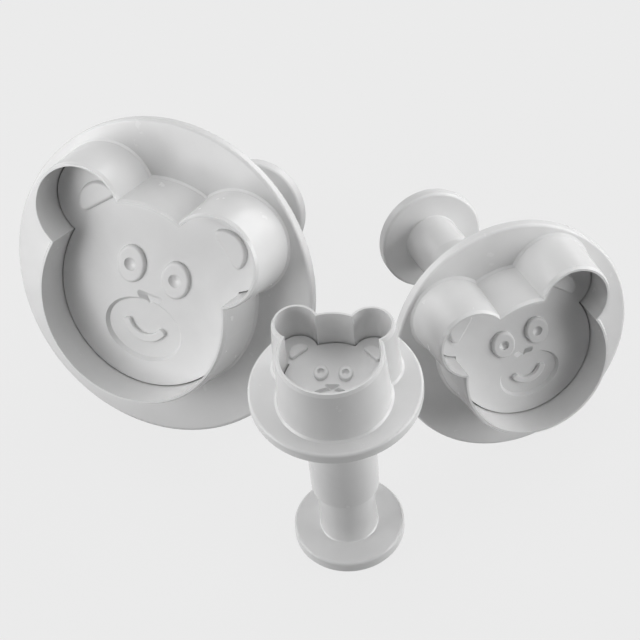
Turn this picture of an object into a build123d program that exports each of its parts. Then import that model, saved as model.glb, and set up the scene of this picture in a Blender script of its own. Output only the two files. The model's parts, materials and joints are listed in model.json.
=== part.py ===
from build123d import *
from math import atan2, cos, degrees, radians, sin
import os

os.makedirs("parts", exist_ok=True)

# A set of three plunger cutters for sugar paste, in millimetres. The small one stands on its knob
# and the other two lie on the edges of flange and knob, all on the plane z = 0.
# Each cutter is first made upright on its own axis: knob face at z = 0, cutting edge upwards.

# Knob, which is alike on the three cutters
knob_radius = 13.1
knob_thickness = 3.4
hub_radius = 6.8
hub_wall = 1.2
hub_shown = 15.1
hub_engagement = 5.5
hub_fillet = 0.25
thumb_dish_radius = 9.0
thumb_dish_depth = 0.8
catch_pocket_radius = 3.6
catch_pocket_depth = 1.7

# Plunger stem and its catch in the knob
stem_radius = 3.0
neck_radius = 2.2
catch_radius = 2.9
catch_length = 1.0
catch_slot = 0.8
catch_slot_depth = 4.0

# Flange and barrel, with the reach from the knob's face to the flange's back
reach = 51.6
flange_height = 3.1
edge_rounding = 0.7
web = 2.0
lip_wall = 1.8
floor_thickness = 2.4
barrel_end_wall = 1.1
barrel_root_radius = 8.4
barrel_flare = 1.6
barrel_lip = 0.3

# Blade, of one height on the three cutters
blade_height = 15.55
blade_wall = 0.9
blade_spread = 0.8
edge_bevel = 0.4
edge_bevel_height = 0.9
foot_flare = 0.5

# Stamp
plate_thickness = 1.8
boss_radius = 5.0
relief = 0.9
nose_depth = 1.2

# Spring
spring_radius = 4.5
wire_radius = 0.4
spring_turns = 12

# Clearances
running_clearance = 0.09
guide_clearance = 0.08
plate_clearance = 0.3
seat_clearance = 0.05
overrun = 1.0

# The three sizes. Shares are of half the head's width, and places count from the head's middle.
small_flange_radius = 20.0
small_head_radius = 12.3
small_face_offset = -3.15
small_stamp_depth = 10.0
small_shares = {"crown": 1.0, "chin": 0.985, "ear_x": 0.685, "ear_y": 0.70, "ear": 0.455}
small_face_shares = {"middle": -0.055, "eye_x": 0.228, "eye_y": 0.23, "eye": 0.135}

medium_flange_radius = 29.7
medium_head_radius = 18.4
medium_face_offset = 0.3
medium_stamp_depth = 8.8
medium_shares = {"crown": 0.98, "chin": 1.01, "ear_x": 0.71, "ear_y": 0.695, "ear": 0.48}
medium_face_shares = {"middle": 0.0, "eye_x": 0.238, "eye_y": 0.20, "eye": 0.155}

large_flange_radius = 39.8
large_head_radius = 25.0
large_face_offset = -2.15
large_stamp_depth = 10.2
large_shares = {"crown": 1.075, "chin": 1.0, "ear_x": 0.72, "ear_y": 0.75, "ear": 0.48}
large_face_shares = {"middle": 0.0, "eye_x": 0.242, "eye_y": 0.23, "eye": 0.155}

# Face relief, in shares of half the head's width from the face's middle
eye_oval_share = 1.28
pupil_share = 0.068
muzzle_y_share = -0.40
muzzle_width_share = 0.415
muzzle_height_share = 0.32
muzzle_slope_share = 0.03
nose_width_share = 0.17
nose_top_share = -0.01
nose_bottom_share = -0.21
nose_floor_share = 0.3
nose_corner_share = 0.03
smile_end_x_share = 0.20
smile_end_y_share = -0.35
smile_low_share = -0.49
smile_width_share = 0.085
smile_end_share = 0.03
shoulder_share = 0.032
# Inner ear, in shares of the ear's radius
inner_ear_share = 0.465
inner_ear_centre_share = -0.11
inner_ear_chord_share = -0.13
inner_ear_corner_share = 0.12

# How the set lies: bearing and gap from the standing cutter, heading of the axis, turn about it
small_turn = -9.6
medium_gap = 3.4
medium_bearing = 36.87
medium_heading = -72.3
medium_turn = 4.3
large_gap = 7.06
large_bearing = 124.24
large_heading = -120.5
large_turn = -3.2

# Levels on a cutter's own axis
knob_top = knob_thickness
flange_top = reach + flange_height
web_bottom = flange_top - web
floor_bottom = flange_top - floor_thickness
edge_level = flange_top + blade_height
barrel_end = knob_top + hub_shown
hub_end = barrel_end + hub_engagement
bore_radius = hub_radius + running_clearance
hub_bore = hub_radius - hub_wall
head_wall_to_plate = blade_wall + plate_clearance


def turned(*points):
    """A solid turned about Z from a half section, given as (radius, height) points."""
    section = make_face(Polyline(*points, close=True))
    return revolve(Plane.XZ * section, Axis.Z)


def turned_disc(*points):
    """A solid turned about Z, with the two corners of its outer edge rounded."""
    section = make_face(Polyline(*points, close=True))
    section = fillet(section.vertices().group_by(Axis.X)[-1], edge_rounding)
    return revolve(Plane.XZ * section, Axis.Z)


def upright(shape, level):
    return Pos(0, 0, level) * shape


def ear_places(size):
    """The ears' centres and radius on one size of cutter."""
    head = size["head"]
    shares = size["shares"]
    ear_y = size["offset"] + head * shares["ear_y"]
    centres = [(side * head * shares["ear_x"], ear_y) for side in (-1, 1)]
    return centres, head * shares["ear"]


def head_outline(size, grow):
    """The head without its ears, grown outwards: crown and chin are two half ovals of one width."""
    head = size["head"]
    half_turn = 180
    arcs = []
    for start, share in ((0, size["shares"]["crown"]), (half_turn, size["shares"]["chin"])):
        height = head * share + grow
        arcs.append(EllipticalCenterArc((0, 0), head + grow, height, start, arc_size=half_turn))
    return make_face(arcs)


def head_block(size, low, high, grow_low, grow_high):
    """A bear's head with two ears, from one level to another, grown outwards at each."""
    centres, ear = ear_places(size)
    low_outline = Pos(0, size["offset"], low) * head_outline(size, grow_low)
    high_outline = Pos(0, size["offset"], high) * head_outline(size, grow_high)
    block = loft([low_outline, high_outline])
    for x, y in centres:
        if grow_low == grow_high:
            stub = Solid.make_cylinder(ear + grow_low, high - low)
        else:
            stub = Solid.make_cone(ear + grow_low, ear + grow_high, high - low)
        block += Pos(x, y, low) * stub
    return block


def housing(size):
    """Flange with the lip round its back, barrel below it and hollow blade above it."""
    lip = size["flange"] - lip_wall
    end_radius = bore_radius + barrel_end_wall
    root_start = web_bottom - barrel_flare
    guide = stem_radius + guide_clearance
    body = turned_disc(
        (bore_radius, barrel_end),
        (end_radius - barrel_lip, barrel_end),
        (end_radius, barrel_end + barrel_lip),
        (barrel_root_radius, root_start),
        (barrel_root_radius + barrel_flare / 4, web_bottom - barrel_flare / 3),
        (barrel_root_radius + barrel_flare, web_bottom),
        (lip, web_bottom),
        (lip, reach),
        (size["flange"], reach),
        (size["flange"], flange_top),
        (guide, flange_top),
        (guide, floor_bottom),
        (bore_radius, floor_bottom),
    )
    bevel_level = edge_level - edge_bevel_height
    foot_level = flange_top + foot_flare
    foot_grow = blade_spread + foot_flare
    body += head_block(size, flange_top - web / 2, foot_level, foot_grow + web / 2, blade_spread)
    body += head_block(size, flange_top, bevel_level, blade_spread, 0)
    body += head_block(size, bevel_level, edge_level, 0, -edge_bevel)
    hollow = head_block(size, flange_top, edge_level + overrun, -blade_wall, -blade_wall)
    guide_hole = Solid.make_cylinder(guide, edge_level)
    return body - hollow - guide_hole - upright(Solid.make_cylinder(bore_radius, floor_bottom), 0)


def raised(outline, base, height, shoulder):
    """A raised patch of the relief, rounded all round its top."""
    patch = extrude(Pos(0, 0, base) * outline, height)
    top = patch.faces().sort_by(Axis.Z)[-1]
    return fillet(top.edges(), shoulder)


def dimple(radius, depth):
    """A ball that sinks a round dimple of one radius and depth into a face at z = 0."""
    ball = (radius ** 2 + depth ** 2) / (2 * depth)
    return Pos(0, 0, ball - depth) * Sphere(ball)


def face_middle(size):
    """The level across the head from which the face's features are placed."""
    return size["offset"] + size["head"] * size["face_shares"]["middle"]


def nose_outline(size, scale):
    """The nose's rounded triangle, point downwards, drawn in towards its middle by a scale."""
    head = size["head"]
    top = head * nose_top_share
    bottom = head * nose_bottom_share
    middle = (2 * top + bottom) / 3
    half = head * nose_width_share * scale
    high = face_middle(size) + middle + (top - middle) * scale
    low = face_middle(size) + middle + (bottom - middle) * scale
    triangle = make_face(Polyline((-half, high), (half, high), (0, low), close=True))
    return fillet(triangle.vertices(), head * nose_corner_share * scale)


def stamp_plate(size, face):
    """The plate with the bear's face on it: raised eyes, smile and inner ears, sunken muzzle and nose."""
    head = size["head"]
    shares = size["face_shares"]
    middle = face_middle(size)
    back = face - plate_thickness
    floor = face - relief
    plate = head_block(size, back, face, -head_wall_to_plate, -head_wall_to_plate)

    slope = head * muzzle_slope_share
    muzzle_top = Ellipse(head * muzzle_width_share, head * muzzle_height_share)
    muzzle_floor = Ellipse(head * muzzle_width_share - slope, head * muzzle_height_share - slope)
    muzzle_y = middle + head * muzzle_y_share
    plate -= loft([Pos(0, muzzle_y, floor) * muzzle_floor, Pos(0, muzzle_y, face) * muzzle_top])
    nose_floor = Pos(0, 0, face - nose_depth) * nose_outline(size, nose_floor_share)
    plate -= loft([nose_floor, Pos(0, 0, face) * nose_outline(size, 1)])

    shoulder = head * shoulder_share
    eye = Ellipse(head * shares["eye"], head * shares["eye"] * eye_oval_share)
    for side in (-1, 1):
        place = Pos(side * head * shares["eye_x"], middle + head * shares["eye_y"])
        plate += raised(place * eye, floor, 2 * relief, shoulder)
        plate -= Pos(0, 0, face + relief) * place * dimple(head * pupil_share, relief)

    end_x = head * smile_end_x_share
    end_y = middle + head * smile_end_y_share
    arc = ThreePointArc((-end_x, end_y), (0, middle + head * smile_low_share), (end_x, end_y))
    band = trace(arc, head * smile_width_share)
    band = fillet(band.vertices(), head * smile_end_share)
    smile_root = relief / 2
    plate += raised(band, floor - smile_root, relief + smile_root, shoulder / 2)

    centres, ear = ear_places(size)
    chord = ear * inner_ear_chord_share
    beyond = Pos(chord + ear, 0) * Rectangle(2 * ear, 2 * ear)
    half_round = (Pos(ear * inner_ear_centre_share, 0) * Circle(ear * inner_ear_share)) & beyond
    half_round = fillet(half_round.vertices(), ear * inner_ear_corner_share)
    for x, y in centres:
        turn = degrees(atan2(y - size["offset"], x))
        pad = Pos(x, y + middle - size["offset"]) * Rot(0, 0, turn) * half_round
        plate += raised(pad, floor, 2 * relief, shoulder)
    return plate


def stamp(size):
    """Stamp plate, boss that stops on the flange, stem and the split catch that holds the knob."""
    face = edge_level - size["depth"]
    boss_foot = flange_top + seat_clearance
    boss_head = face - plate_thickness / 2 - relief / 2
    pocket = catch_pocket_depth - seat_clearance
    stem = turned(
        (0, boss_head),
        (boss_radius, boss_head),
        (boss_radius, boss_foot),
        (stem_radius, boss_foot),
        (stem_radius, knob_top + seat_clearance),
        (neck_radius, knob_top + seat_clearance),
        (neck_radius, pocket),
        (catch_radius, pocket),
        (neck_radius, pocket - catch_length),
        (0, pocket - catch_length),
    )
    slot = Box(catch_slot, 4 * catch_radius, 2 * catch_slot_depth)
    return stamp_plate(size, face) + stem - upright(slot, pocket - catch_length)


def knob():
    """Thumb disc with a rounded edge, and the hollow hub that slides in the barrel."""
    hole = neck_radius + seat_clearance
    disc = turned_disc((0, 0), (knob_radius, 0), (knob_radius, knob_top), (0, knob_top))
    hub = turned(
        (hub_bore, knob_top / 2),
        (hub_radius + hub_fillet, knob_top / 2),
        (hub_radius + hub_fillet, knob_top),
        (hub_radius, knob_top + hub_fillet),
        (hub_radius, hub_end),
        (hub_bore, hub_end),
    )
    dish = Rot(180, 0, 0) * dimple(thumb_dish_radius, thumb_dish_depth)
    pocket = Solid.make_cylinder(catch_pocket_radius, catch_pocket_depth)
    return disc + hub - dish - pocket - Solid.make_cylinder(hole, 2 * knob_top)


def spring():
    """Compression spring round the stem, from the knob's disc to the flange's floor."""
    low = knob_top + wire_radius + seat_clearance
    high = floor_bottom - wire_radius - seat_clearance
    length = high - low
    path = Helix(pitch=length / spring_turns, height=length, radius=spring_radius, center=(0, 0, low))
    wire = Plane(origin=path @ 0, z_dir=path % 0) * Circle(wire_radius)
    return sweep(wire, path=path, is_frenet=True)


def standing(turn):
    return Location((0, 0, 0), (0, 0, turn))


def lying(flange_radius, gap, bearing, heading, turn):
    """A cutter that rests on the back edge of its flange and the outer edge of its knob, face turned up."""
    tilt = atan2(flange_radius - knob_radius, reach)
    apart = small_flange_radius + flange_radius + gap
    level = (flange_radius - edge_rounding) * cos(tilt) + edge_rounding
    centre = Vector(apart * cos(radians(bearing)), apart * sin(radians(bearing)), level)
    across = cos(tilt)
    axis = Vector(across * cos(radians(heading)), across * sin(radians(heading)), sin(tilt))
    rise = Vector(0, 0, 1) - axis * axis.Z
    side = rise.normalized().cross(axis)
    frame = Plane(origin=centre - axis * (reach + edge_rounding), x_dir=side, z_dir=axis)
    return frame.location * Location((0, 0, 0), (0, 0, turn))


sizes = {
    "small": {
        "flange": small_flange_radius,
        "head": small_head_radius,
        "offset": small_face_offset,
        "depth": small_stamp_depth,
        "shares": small_shares,
        "face_shares": small_face_shares,
        "place": standing(small_turn),
    },
    "medium": {
        "flange": medium_flange_radius,
        "head": medium_head_radius,
        "offset": medium_face_offset,
        "depth": medium_stamp_depth,
        "shares": medium_shares,
        "face_shares": medium_face_shares,
        "place": lying(medium_flange_radius, medium_gap, medium_bearing, medium_heading, medium_turn),
    },
    "large": {
        "flange": large_flange_radius,
        "head": large_head_radius,
        "offset": large_face_offset,
        "depth": large_stamp_depth,
        "shares": large_shares,
        "face_shares": large_face_shares,
        "place": lying(large_flange_radius, large_gap, large_bearing, large_heading, large_turn),
    },
}

pieces = {}
for name, size in sizes.items():
    cutter = {
        "housing": housing(size),
        "stamp": stamp(size),
        "spring": spring(),
        "knob": knob(),
    }
    for piece, shape in cutter.items():
        pieces[name + "_" + piece] = size["place"] * shape

# The origin is the middle of the set's footprint, on the plane that it stands on.
whole = Compound(children=[shape.solid() for shape in pieces.values()]).bounding_box()
middle = Pos(-whole.center().X, -whole.center().Y, -whole.min.Z)
for name, shape in pieces.items():
    export_step(middle * shape.solid(), "parts/" + name + ".step")
    print(name, "volume", round(shape.solid().volume, 1))
print("footprint middle", whole.center().X, whole.center().Y, whole.min.Z)
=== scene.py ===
import json
import math

import bpy
from mathutils import Matrix, Vector

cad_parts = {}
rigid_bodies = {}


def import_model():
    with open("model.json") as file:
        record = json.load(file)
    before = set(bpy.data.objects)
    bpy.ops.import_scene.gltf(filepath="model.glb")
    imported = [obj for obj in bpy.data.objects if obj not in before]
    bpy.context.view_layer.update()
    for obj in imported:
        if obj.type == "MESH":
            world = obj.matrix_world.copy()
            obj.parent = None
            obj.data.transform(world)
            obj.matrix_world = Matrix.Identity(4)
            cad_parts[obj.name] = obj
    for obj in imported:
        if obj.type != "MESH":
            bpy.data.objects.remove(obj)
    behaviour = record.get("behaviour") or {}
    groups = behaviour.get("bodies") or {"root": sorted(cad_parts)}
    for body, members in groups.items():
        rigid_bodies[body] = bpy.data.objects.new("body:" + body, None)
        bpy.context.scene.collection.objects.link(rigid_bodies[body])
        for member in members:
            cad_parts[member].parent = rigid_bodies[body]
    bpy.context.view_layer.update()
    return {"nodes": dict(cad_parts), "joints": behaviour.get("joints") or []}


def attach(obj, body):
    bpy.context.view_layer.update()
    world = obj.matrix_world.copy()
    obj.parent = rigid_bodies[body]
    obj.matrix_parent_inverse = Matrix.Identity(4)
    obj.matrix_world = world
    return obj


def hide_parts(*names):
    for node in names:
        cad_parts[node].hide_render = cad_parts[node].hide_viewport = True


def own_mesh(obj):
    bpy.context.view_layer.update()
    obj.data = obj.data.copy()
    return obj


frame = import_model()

# Housings: the flange, barrel and hollow bear-head blade of each cutter, in one injection moulding.
# They are hard white styrene, polished like the mould, with a faint swirl where the melt flowed,
# an uneven polish and a fine orange-peel skin.
cutters = ("small", "medium", "large")
styrene_ior = 1.5
swirl_detail = 3
swirl_distortion = 0.6
swirl_ends = (0.35, 0.65)
rubs_per_swirl = 6
rub_detail = 4
roughness_below = 0.05
roughness_above = 0.07
peel_per_swirl = 20
peel_detail = 2
peel_strength = 0.05
peel_depth = 0.0001


def node_material(name):
    """A new material made of nodes."""
    material = bpy.data.materials.new(name)
    material.use_nodes = True
    return material


def cloud(tree, scale, detail, distortion=0.0):
    """A cloudy pattern that stays with the piece."""
    pattern = tree.nodes.new("ShaderNodeTexNoise")
    pattern.inputs["Scale"].default_value = scale
    pattern.inputs["Detail"].default_value = detail
    pattern.inputs["Distortion"].default_value = distortion
    place = tree.nodes.new("ShaderNodeTexCoord")
    tree.links.new(place.outputs["Object"], pattern.inputs["Vector"])
    return pattern.outputs["Fac"]


def colour_by(tree, pattern, dark, light, ends=(0, 1)):
    """Colours the surface between two tones by a pattern."""
    tone = tree.nodes.new("ShaderNodeValToRGB")
    for element, end, colour in zip(tone.color_ramp.elements, ends, (dark, light)):
        element.position = end
        element.color = (*colour, 1)
    tree.links.new(pattern, tone.inputs["Fac"])
    tree.links.new(tone.outputs["Color"], tree.nodes["Principled BSDF"].inputs["Base Color"])


def roughness_by(tree, pattern, smooth, rough):
    """Makes the surface more or less rough by a pattern."""
    polish = tree.nodes.new("ShaderNodeMapRange")
    polish.inputs["To Min"].default_value = smooth
    polish.inputs["To Max"].default_value = rough
    tree.links.new(pattern, polish.inputs["Value"])
    tree.links.new(polish.outputs["Result"], tree.nodes["Principled BSDF"].inputs["Roughness"])


def bump_by(tree, pattern, strength, depth):
    """Raises the surface a little by a pattern."""
    bump = tree.nodes.new("ShaderNodeBump")
    bump.inputs["Strength"].default_value = strength
    bump.inputs["Distance"].default_value = depth
    tree.links.new(pattern, bump.inputs["Height"])
    tree.links.new(bump.outputs["Normal"], tree.nodes["Principled BSDF"].inputs["Normal"])


def moulded_plastic(name, dark, light, roughness, swirls):
    """Moulded styrene between two tones of white, with a number of swirls to the metre."""
    material = node_material(name)
    tree = material.node_tree
    tree.nodes["Principled BSDF"].inputs["IOR"].default_value = styrene_ior
    swirl = cloud(tree, swirls, swirl_detail, swirl_distortion)
    colour_by(tree, swirl, (dark, dark, dark), (light, light, light), swirl_ends)
    rub = cloud(tree, rubs_per_swirl * swirls, rub_detail)
    roughness_by(tree, rub, roughness - roughness_below, roughness + roughness_above)
    peel = cloud(tree, peel_per_swirl * swirls, peel_detail)
    bump_by(tree, peel, peel_strength, peel_depth)
    return material


def finish_mouldings(piece, material):
    """Gives one kind of moulding its plastic on all three cutters."""
    for cutter in cutters:
        moulding = frame["nodes"][cutter + "_" + piece]
        moulding.data.materials.clear()
        moulding.data.materials.append(material)


finish_mouldings("housing", moulded_plastic("housing_plastic", 0.71, 0.77, roughness=0.24, swirls=40))

# Stamps: the plate with the face in relief, boss, stem and split catch, moulded in one piece.
# They are the same plastic, a little less polished, and slide in the housing from the blade's side.
finish_mouldings("stamp", moulded_plastic("stamp_plastic", 0.74, 0.80, roughness=0.30, swirls=55))

# Springs: a compression spring round each stem, wound from hard-drawn steel wire with closed ends.
# It stands loose between the knob's disc and the flange's floor. The real spring shortens as the knob is
# pressed; this one keeps the length it is wound at.
coil_radius = 0.0045
wire_radius = 0.0004
turns = 13
closed_turns = 1.25
easing_turns = 0.5
steps_per_turn = 32
wire_sides = 12
wire_dark = (0.42, 0.42, 0.43)
wire_light = (0.62, 0.61, 0.60)
wire_smooth = 0.25
wire_rough = 0.45
scratches_per_metre = 900
scratch_detail = 4
scratch_strength = 0.2
scratch_depth = 0.00005

steel = node_material("spring_steel")
steel.node_tree.nodes["Principled BSDF"].inputs["Metallic"].default_value = 1
scratches = cloud(steel.node_tree, scratches_per_metre, scratch_detail)
colour_by(steel.node_tree, scratches, wire_dark, wire_light)
roughness_by(steel.node_tree, scratches, wire_smooth, wire_rough)
bump_by(steel.node_tree, scratches, scratch_strength, scratch_depth)


def wound_spring(name, length):
    """A spring along Z from z = 0, with close coils at both ends and even coils between."""
    bpy.ops.object.select_all(action="DESELECT")
    upright = (math.pi / 2, 0, 0)
    bpy.ops.mesh.primitive_circle_add(
        vertices=wire_sides, radius=wire_radius, location=(coil_radius, 0, 0), rotation=upright
    )
    spring = bpy.context.object
    spring.name = name
    bpy.ops.object.transform_apply(location=True, rotation=True, scale=True)
    height = length - 2 * wire_radius
    winding = spring.modifiers.new("winding", "SCREW")
    winding.axis = "Z"
    winding.angle = 2 * math.pi
    winding.iterations = turns
    winding.screw_offset = height / turns
    winding.steps = steps_per_turn
    winding.render_steps = steps_per_turn
    winding.use_smooth_shade = True
    bpy.ops.object.modifier_apply(modifier="winding")

    rings = turns * steps_per_turn
    spread = [0]
    for ring in range(rings):
        turn = (ring + 0.5) / steps_per_turn
        from_end = min(turn, turns - turn) - closed_turns
        opening = min(1, max(0, from_end / easing_turns))
        spread.append(spread[-1] + opening)
    close_height = 2 * wire_radius * turns
    for ring, opened in enumerate(spread):
        share = ring / rings
        level = wire_radius + close_height * share + (height - close_height) * opened / spread[-1]
        shift = level - height * share
        for vertex in spring.data.vertices[ring * wire_sides:(ring + 1) * wire_sides]:
            vertex.co.z += shift

    bpy.ops.object.mode_set(mode="EDIT")
    bpy.ops.mesh.select_all(action="SELECT")
    bpy.ops.mesh.fill_holes(sides=wire_sides)
    bpy.ops.mesh.normals_make_consistent(inside=False)
    bpy.ops.object.mode_set(mode="OBJECT")
    return spring


for press in [joint for joint in frame["joints"] if joint["name"].endswith("_press")]:
    cutter = press["name"].split("_")[0]
    axis = Vector(press["axis"])
    points = [vertex.co for vertex in frame["nodes"][cutter + "_spring"].data.vertices]
    middle = sum(points, Vector()) / len(points)
    levels = [(point - middle).dot(axis) for point in points]
    length = max(levels) - min(levels)
    knob_end = middle + axis * min(levels)
    spring = wound_spring(cutter + "_wound_spring", length)
    spring.matrix_world = Matrix.Translation(knob_end) @ axis.to_track_quat("Z", "Y").to_matrix().to_4x4()
    bpy.ops.object.transform_apply(location=True, rotation=True, scale=True)
    spring.data.materials.append(steel)
    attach(spring, press["parent"])
    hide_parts(cutter + "_spring")
    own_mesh(spring)

# Knobs: the thumb disc and hollow hub of each cutter, in one glossy moulding of the same plastic.
# Each is pushed on to its stem until the stem's split catch snaps out behind the disc.
finish_mouldings("knob", moulded_plastic("knob_plastic", 0.74, 0.80, roughness=0.22, swirls=45))

# Room: a wide sheet of pale matt paper under the set, which keeps a faint shadow of it, and a
# plain pale surround. Both show their own tone to the camera and in the pieces' reflections.
floor_size = 6
floor_drop = 0.0002
floor_tone = 0.93
floor_lit_tone = 0.3
floor_roughness = 0.9
floor_own_share = 0.85
backdrop_tone = 0.838
surround_light = 0.01


def seen_rays(tree):
    """One for rays from the camera, or mirrored or let through by a piece, and zero for others."""
    rays = tree.nodes.new("ShaderNodeLightPath")
    seen = rays.outputs["Is Camera Ray"]
    for kind in ("Is Glossy Ray", "Is Transmission Ray"):
        either = tree.nodes.new("ShaderNodeMath")
        either.operation = "MAXIMUM"
        tree.links.new(seen, either.inputs[0])
        tree.links.new(rays.outputs[kind], either.inputs[1])
        seen = either.outputs[0]
    return seen


def show_by(tree, share, lit, shown, output):
    """Ends a node tree in two shaders, with the second shown by a share."""
    blend = tree.nodes.new("ShaderNodeMixShader")
    tree.links.new(share, blend.inputs[0])
    tree.links.new(lit.outputs[0], blend.inputs[1])
    tree.links.new(shown.outputs[0], blend.inputs[2])
    tree.links.new(blend.outputs[0], tree.nodes[output].inputs["Surface"])


paper = node_material("paper")
tree = paper.node_tree
lit = tree.nodes["Principled BSDF"]
lit.inputs["Base Color"].default_value = (floor_lit_tone, floor_lit_tone, floor_lit_tone, 1)
lit.inputs["Roughness"].default_value = floor_roughness
lit.inputs["Specular IOR Level"].default_value = 0
shown = tree.nodes.new("ShaderNodeEmission")
shown.inputs["Color"].default_value = (floor_tone, floor_tone, floor_tone, 1)
share = tree.nodes.new("ShaderNodeMath")
share.operation = "MULTIPLY"
share.inputs[1].default_value = floor_own_share
tree.links.new(seen_rays(tree), share.inputs[0])
show_by(tree, share.outputs[0], lit, shown, "Material Output")
bpy.ops.mesh.primitive_plane_add(size=floor_size, location=(0, 0, -floor_drop))
floor = bpy.context.object
floor.name = "floor"
floor.data.materials.append(paper)

surround = bpy.data.worlds.new("surround")
bpy.context.scene.world = surround
surround.use_nodes = True
tree = surround.node_tree
lit = tree.nodes["Background"]
lit.inputs["Color"].default_value = (1, 1, 1, 1)
lit.inputs["Strength"].default_value = surround_light
shown = tree.nodes.new("ShaderNodeBackground")
shown.inputs["Color"].default_value = (backdrop_tone, backdrop_tone, backdrop_tone, 1)
show_by(tree, seen_rays(tree), lit, shown, "World Output")

# Lamps: five soft boxes of a plain level, all aimed at the middle of the set. Two stand low in
# front, one on each side, one hangs overhead, and two stand behind and light the backs.
aim = Vector((0, 0, 0.03))
soft_boxes = {
    "left_box": {"place": (-0.44, -0.14, 0.175), "width": 0.34, "height": 0.34, "watts": 1.5},
    "right_box": {"place": (0.44, -0.14, 0.15), "width": 0.34, "height": 0.3, "watts": 1.5},
    "top_box": {"place": (0, 0.1, 0.6), "width": 0.55, "height": 0.55, "watts": 1.5},
    "back_left_box": {"place": (-0.4, 0.35, 0.25), "width": 0.45, "height": 0.45, "watts": 0.7},
    "back_right_box": {"place": (0.4, 0.35, 0.25), "width": 0.5, "height": 0.5, "watts": 1.4},
}
for name, box in soft_boxes.items():
    bpy.ops.object.light_add(type="AREA", location=box["place"])
    lamp = bpy.context.object
    lamp.name = name
    lamp.data.shape = "RECTANGLE"
    lamp.data.size = box["width"]
    lamp.data.size_y = box["height"]
    lamp.data.energy = box["watts"]
    lamp.rotation_euler = (aim - Vector(box["place"])).to_track_quat("-Z", "Y").to_euler()

# Camera: a long lens that looks down on the set from in front, from where the photograph was taken.
# The rows give its right, up and back directions in their columns, and its place in the last one.
bpy.ops.object.camera_add()
camera = bpy.context.object
camera.data.sensor_width = 36
camera.data.lens = 175.13
camera.data.clip_start = 0.05
camera.data.clip_end = 20
camera.matrix_world = Matrix((
    (0.994310, 0.106553, 0.000000, -0.000597),
    (-0.081850, 0.763760, -0.640290, -0.480206),
    (-0.068220, 0.636640, 0.768140, 0.604363),
    (0, 0, 0, 1),
))
bpy.context.scene.camera = camera
bpy.context.scene.view_settings.view_transform = "Standard"

bpy.context.view_layer.update()
